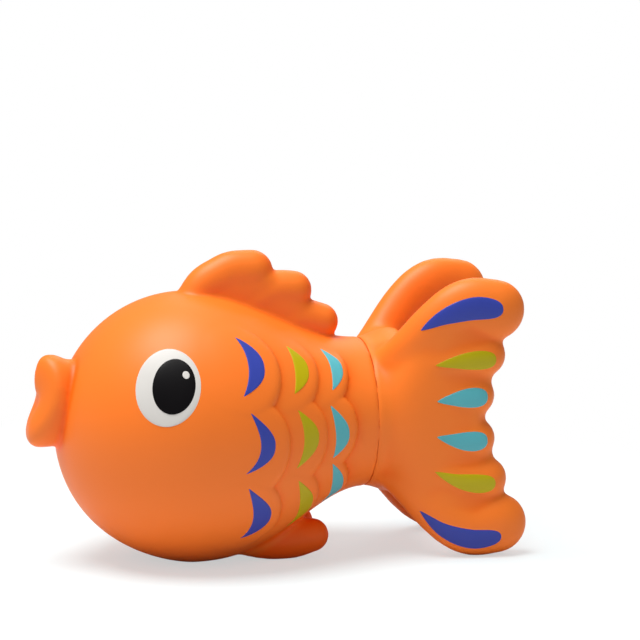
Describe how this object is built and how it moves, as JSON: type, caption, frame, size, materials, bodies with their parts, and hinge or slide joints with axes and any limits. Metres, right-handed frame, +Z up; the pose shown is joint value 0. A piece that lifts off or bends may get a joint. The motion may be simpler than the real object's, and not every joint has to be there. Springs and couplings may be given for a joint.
{
  "type": "squeaky bath toy",
  "caption": "Hollow soft vinyl goldfish bath toy with a swivelling twin-fan tail, painted eyes and scale marks, and a reed squeaker in its flat belly.",
  "frame": {"origin": "middle of the flat pad under the belly, on the squeaker's outer face and in the plane that the toy stands on", "axes": "+Z up, -X out of the mouth and +X out of the tail, -Y to the fish's own left side"},
  "size_m": [0.1374, 0.071, 0.0862],
  "materials": {
    "body_vinyl": "satin soft vinyl",
    "tail_vinyl": "satin soft vinyl",
    "squeaker_plastic": "moulded, smooth",
    "reed_plastic": "thin film",
    "white_paint": "satin paint",
    "black_paint": "satin paint",
    "blue_paint": "satin paint",
    "green_paint": "satin paint",
    "teal_paint": "satin paint"
  },
  "bodies": {
    "body": {"body_shell": "body_vinyl", "squeaker_housing": "squeaker_plastic", "reed_holder": "squeaker_plastic", "reed_clamp": "squeaker_plastic", "eye_white_left": "white_paint", "eye_white_right": "white_paint", "pupil_left": "black_paint", "pupil_right": "black_paint", "catchlight_left": "white_paint", "catchlight_right": "white_paint", "blue_scale_marks_left": "blue_paint", "blue_scale_marks_right": "blue_paint", "green_scale_marks_left": "green_paint", "green_scale_marks_right": "green_paint", "teal_scale_marks_left": "teal_paint", "teal_scale_marks_right": "teal_paint"},
    "tail": {"tail_shell": "tail_vinyl", "blue_tail_drops_left": "blue_paint", "blue_tail_drops_right": "blue_paint", "green_tail_drops_left": "green_paint", "green_tail_drops_right": "green_paint", "teal_tail_drops_left": "teal_paint", "teal_tail_drops_right": "teal_paint"},
    "reed": {"squeaker_reed": "reed_plastic"}
  },
  "joints": [
    {"name": "tail_swivel", "type": "hinge", "parent": "body", "child": "tail", "pos_m": [0.05, 0, 0.039], "axis": [1, 0, 0], "continuous": true},
    {"name": "reed_flap", "type": "hinge", "parent": "body", "child": "reed", "pos_m": [0, 0.0004, 0.0024], "axis": [1, 0, 0], "range_deg": [-5, 3], "stiffness_Nm_per_rad": 0.00002}
  ]
}
